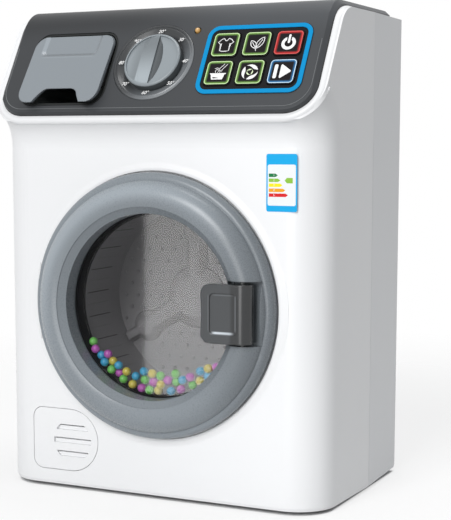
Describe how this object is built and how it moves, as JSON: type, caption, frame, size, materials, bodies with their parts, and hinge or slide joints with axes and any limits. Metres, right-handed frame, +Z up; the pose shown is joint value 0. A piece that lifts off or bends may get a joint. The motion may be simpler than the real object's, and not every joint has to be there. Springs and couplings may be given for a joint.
{
  "type": "toy washing machine",
  "caption": "Toy front-loading washing machine with round opening door, turning drum, sliding drawer, turning dial and push keys on a sloped dark panel.",
  "frame": {"origin": "middle of the whole part at floor level", "axes": "+Z up, front of the machine towards -Y, +X to the right as seen from the front"},
  "size_m": [0.2402, 0.172, 0.3225],
  "materials": {
    "white": "moulded, satin",
    "off_white": "moulded, satin",
    "panel_grey": "fine satin",
    "steel": "turned",
    "ring_grey": "satin paint",
    "smoked_clear": "clear moulded",
    "dark_plastic": "moulded",
    "clear": "clear moulded",
    "bead": "glossy, mixed colours",
    "black_rubber": "soft",
    "pale_plastic": "moulded",
    "drum_grey": "moulded",
    "bronze": "sintered",
    "bezel_grey": "satin",
    "blue": "printed",
    "key_grey": "satin",
    "key_red": "satin",
    "key_blue": "satin",
    "board_green": "solder resist",
    "lamp": "clear tinted",
    "cell": "sleeved"
  },
  "bodies": {
    "casing": {"front_casing": "white", "rear_casing": "off_white", "control_fascia": "panel_grey", "top_cover": "panel_grey", "vent_cover": "white", "hinge_bracket": "white", "latch_keeper": "white", "door_seal": "black_rubber", "tub": "pale_plastic", "shaft_bushing": "bronze", "drive_belt": "black_rubber", "motor_bracket": "steel", "motor": "steel", "drawer_housing": "dark_plastic", "dial_bezel": "bezel_grey", "dial_switch": "dark_plastic", "keypad_frame": "blue", "keypad_plate": "dark_plastic", "circuit_board": "board_green", "key_switches": "dark_plastic", "lamp_lens": "lamp", "speaker": "dark_plastic", "battery_box": "white", "batteries": "cell", "battery_contacts": "steel", "battery_door": "off_white", "battery_screw": "steel", "casing_screws": "steel", "feet": "black_rubber"},
    "door": {"door_ring": "ring_grey", "door_window": "smoked_clear", "door_back_frame": "dark_plastic", "door_inner_pane": "clear", "beads": "bead", "door_hinge_pin": "steel", "handle_pin": "steel", "handle_spring": "steel"},
    "handle": {"door_handle": "ring_grey"},
    "drum": {"drum": "drum_grey", "drum_lifters": "drum_grey", "drum_shaft": "steel", "drum_pulley": "pale_plastic"},
    "motor_rotor": {"motor_pulley": "pale_plastic"},
    "drawer": {"drawer_front": "ring_grey", "drawer_tray": "drum_grey"},
    "dial": {"dial_knob": "ring_grey"},
    "key_shirt": {"key_shirt": "key_grey"},
    "key_leaf": {"key_leaf": "key_grey"},
    "key_power": {"key_power": "key_red"},
    "key_tub": {"key_tub": "key_grey"},
    "key_spin": {"key_spin": "key_grey"},
    "key_start": {"key_start": "key_blue"}
  },
  "joints": [
    {"name": "door_swing", "type": "hinge", "parent": "casing", "child": "door", "pos_m": [-0.0806, -0.0685, 0.1285], "axis": [0, 0, -1], "range_deg": [0, 100], "deforming": ["latch_keeper"]},
    {"name": "handle_pull", "type": "hinge", "parent": "door", "child": "handle", "pos_m": [0.0714, -0.079, 0.1285], "axis": [0, 0, 1], "range_deg": [0, 10], "stiffness_Nm_per_rad": 0.05, "springref_deg": -8.59},
    {"name": "drum_spin", "type": "hinge", "parent": "casing", "child": "drum", "pos_m": [0.0024, 0.015, 0.1285], "axis": [0, 1, 0], "continuous": true},
    {"name": "motor_spin", "type": "hinge", "parent": "casing", "child": "motor_rotor", "pos_m": [0.03764, 0.027, 0.15807], "axis": [0, 1, 0], "continuous": true},
    {"name": "drawer_slide", "type": "slide", "parent": "casing", "child": "drawer", "axis": [0, -1, 0], "range_m": [0, 0.05]},
    {"name": "dial_turn", "type": "hinge", "parent": "casing", "child": "dial", "pos_m": [-0.0032, -0.05441, 0.28491], "axis": [0, -0.8616, 0.5075], "continuous": true},
    {"name": "press_shirt", "type": "slide", "parent": "casing", "child": "key_shirt", "axis": [0, 0.8616, -0.5075], "range_m": [0, 0.001], "stiffness_N_per_m": 800, "springref_m": -0.0005},
    {"name": "press_leaf", "type": "slide", "parent": "casing", "child": "key_leaf", "axis": [0, 0.8616, -0.5075], "range_m": [0, 0.001], "stiffness_N_per_m": 800, "springref_m": -0.0005},
    {"name": "press_power", "type": "slide", "parent": "casing", "child": "key_power", "axis": [0, 0.8616, -0.5075], "range_m": [0, 0.001], "stiffness_N_per_m": 800, "springref_m": -0.0005},
    {"name": "press_tub", "type": "slide", "parent": "casing", "child": "key_tub", "axis": [0, 0.8616, -0.5075], "range_m": [0, 0.001], "stiffness_N_per_m": 800, "springref_m": -0.0005},
    {"name": "press_spin", "type": "slide", "parent": "casing", "child": "key_spin", "axis": [0, 0.8616, -0.5075], "range_m": [0, 0.001], "stiffness_N_per_m": 800, "springref_m": -0.0005},
    {"name": "press_start", "type": "slide", "parent": "casing", "child": "key_start", "axis": [0, 0.8616, -0.5075], "range_m": [0, 0.001], "stiffness_N_per_m": 800, "springref_m": -0.0005}
  ],
  "couplings": [
    {"joint": "motor_spin", "follows": "drum_spin", "ratio": 4.8}
  ]
}
